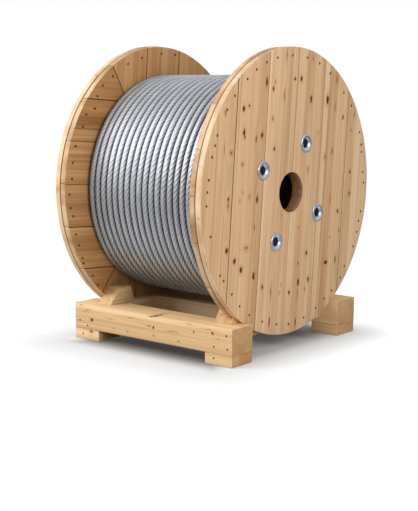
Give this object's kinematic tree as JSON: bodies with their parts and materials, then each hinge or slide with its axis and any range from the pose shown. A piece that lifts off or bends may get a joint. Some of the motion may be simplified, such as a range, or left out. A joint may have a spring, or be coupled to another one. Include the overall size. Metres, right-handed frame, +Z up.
{
  "type": "wooden cable drum",
  "caption": "Round-flanged timber drum wound full of steel wire rope, lying on a chocked timber cradle; holds rope for storage and pays it out on a spindle.",
  "frame": {"origin": "on the floor, under the middle of the drum", "axes": "+X along the drum's axis, +Z up, -Y towards the front bearer"},
  "size_m": [0.72, 1, 1.0515],
  "materials": {
    "outer_board": "sawn softwood, dry",
    "inner_board": "sawn softwood, dry",
    "barrel_timber": "sawn softwood, dry",
    "bearer": "planed softwood, dry",
    "foot": "sawn softwood, dry",
    "chock": "planed softwood, dry",
    "rail": "sawn softwood, dry",
    "wire_rope": "galvanised, satin",
    "cup_washer": "zinc plated",
    "nut": "zinc plated, dull",
    "tie_bolt": "zinc plated, dull"
  },
  "bodies": {
    "root": {"barrel_staves": "barrel_timber", "front_bearer": "bearer", "front_left_chock": "chock", "front_left_foot": "foot", "front_right_chock": "chock", "front_right_foot": "foot", "left_cup_washers": "cup_washer", "left_inner_bottom_boards": "inner_board", "left_inner_front_boards": "inner_board", "left_inner_rear_boards": "inner_board", "left_inner_top_boards": "inner_board", "left_outer_board_1": "outer_board", "left_outer_board_2": "outer_board", "left_outer_board_3": "outer_board", "left_outer_board_4": "outer_board", "left_outer_board_5": "outer_board", "left_outer_board_6": "outer_board", "left_rail": "rail", "rear_bearer": "bearer", "rear_left_chock": "chock", "rear_left_foot": "foot", "rear_right_chock": "chock", "rear_right_foot": "foot", "right_cup_washers": "cup_washer", "right_inner_bottom_boards": "inner_board", "right_inner_front_boards": "inner_board", "right_inner_rear_boards": "inner_board", "right_inner_top_boards": "inner_board", "right_outer_board_1": "outer_board", "right_outer_board_2": "outer_board", "right_outer_board_3": "outer_board", "right_outer_board_4": "outer_board", "right_outer_board_5": "outer_board", "right_outer_board_6": "outer_board", "right_rail": "rail", "rope_winding": "wire_rope", "tie_board": "rail", "tie_bolt_1": "tie_bolt", "tie_bolt_2": "tie_bolt", "tie_bolt_3": "tie_bolt", "tie_bolt_4": "tie_bolt", "tie_nuts": "nut"}
  },
  "joints": []
}
